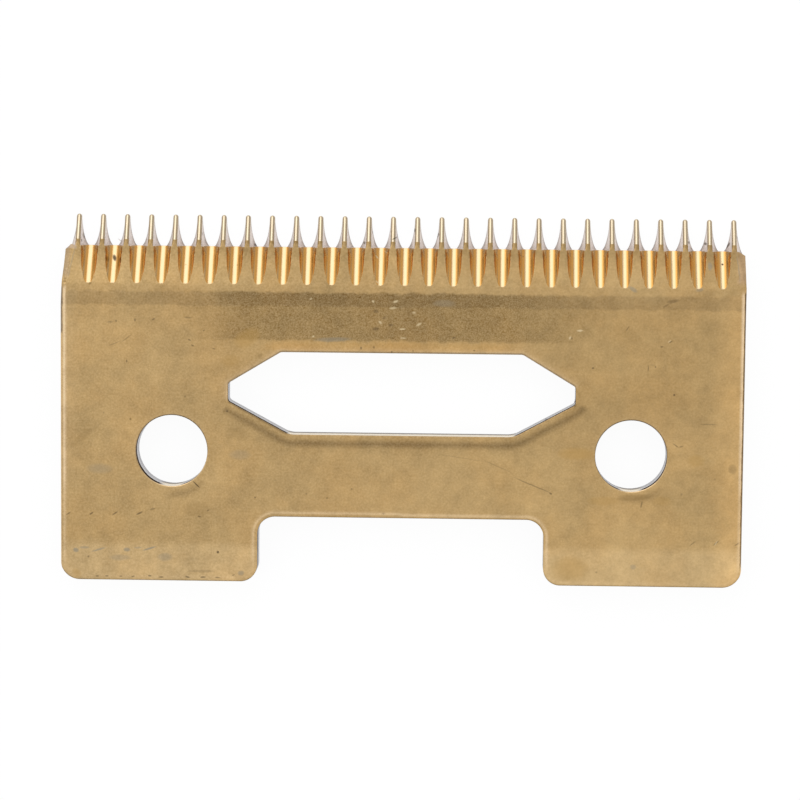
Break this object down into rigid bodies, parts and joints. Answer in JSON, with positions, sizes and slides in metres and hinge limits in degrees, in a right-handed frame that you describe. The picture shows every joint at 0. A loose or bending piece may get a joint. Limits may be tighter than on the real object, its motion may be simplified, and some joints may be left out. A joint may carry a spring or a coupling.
{
  "type": "hair clipper blade",
  "caption": "Flat gold-coloured steel blade for a hair clipper, with a comb of fluted teeth along one edge, a long window with slanted ends between screw holes, and a notched heel.",
  "frame": {"origin": "on the surface that the blade lies on, under the middle of its length and width", "axes": "+X along the row of teeth, +Y from the heel towards the tips of the teeth, +Z out of the outer face"},
  "size_m": [0.046, 0.0248, 0.002],
  "materials": {
    "gold_coated_steel": "satin gold-coloured coating on the outer face, bright in the flutes and along the tooth ridges; cut walls and the ground cutting face are bare steel"
  },
  "bodies": {
    "root": {"comb_blade": "gold_coated_steel"}
  },
  "joints": []
}
